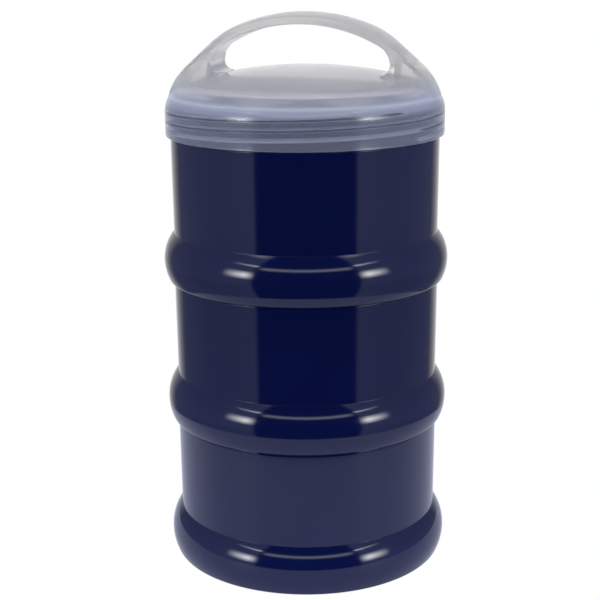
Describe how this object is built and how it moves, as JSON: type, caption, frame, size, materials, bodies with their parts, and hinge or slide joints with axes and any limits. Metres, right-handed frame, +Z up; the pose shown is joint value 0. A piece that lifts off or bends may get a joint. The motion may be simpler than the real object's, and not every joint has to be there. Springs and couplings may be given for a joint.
{
  "type": "powder formula dispenser",
  "caption": "Screw-together stack of round powder cups with a clear domed lid and an arched carrying handle, for carrying measured baby formula or snacks.",
  "frame": {"origin": "centre of the bottom cup's foot, on the surface the stack stands on", "axes": "+Z up along the stack's axis; the handle's bow runs along X; -Y is the front"},
  "size_m": [0.0895, 0.0894, 0.1725],
  "materials": {
    "navy_pp": "glossy opaque navy polypropylene, injection moulded",
    "natural_pp": "translucent natural polypropylene, injection moulded",
    "clear_silicone": "translucent silicone, compression moulded"
  },
  "bodies": {
    "bottom_cup": {"bottom_cup": "navy_pp"},
    "lower_seal": {"lower_seal": "clear_silicone"},
    "middle_cup": {"middle_cup": "navy_pp"},
    "upper_seal": {"upper_seal": "clear_silicone"},
    "top_cup": {"top_cup": "navy_pp"},
    "lid_seal": {"lid_seal": "clear_silicone"},
    "lid": {"lid": "natural_pp"}
  },
  "joints": [
    {"name": "lower_rise", "type": "slide", "parent": "bottom_cup", "child": "lower_seal", "axis": [0, 0, 1], "range_m": [0, 0.0141]},
    {"name": "lower_turn", "type": "hinge", "parent": "lower_seal", "child": "middle_cup", "pos_m": [0, 0, 0.0452], "axis": [0, 0, 1], "range_deg": [0, 900]},
    {"name": "upper_rise", "type": "slide", "parent": "middle_cup", "child": "upper_seal", "axis": [0, 0, 1], "range_m": [0, 0.0141]},
    {"name": "upper_turn", "type": "hinge", "parent": "upper_seal", "child": "top_cup", "pos_m": [0, 0, 0.0904], "axis": [0, 0, 1], "range_deg": [0, 900]},
    {"name": "lid_rise", "type": "slide", "parent": "top_cup", "child": "lid_seal", "axis": [0, 0, 1], "range_m": [0, 0.0141]},
    {"name": "lid_turn", "type": "hinge", "parent": "lid_seal", "child": "lid", "pos_m": [0, 0, 0.1356], "axis": [0, 0, 1], "range_deg": [0, 900]}
  ],
  "couplings": [
    {"joint": "lower_rise", "follows": "lower_turn", "m_per_rad": 0.00089127},
    {"joint": "upper_rise", "follows": "upper_turn", "m_per_rad": 0.00089127},
    {"joint": "lid_rise", "follows": "lid_turn", "m_per_rad": 0.00089127}
  ]
}
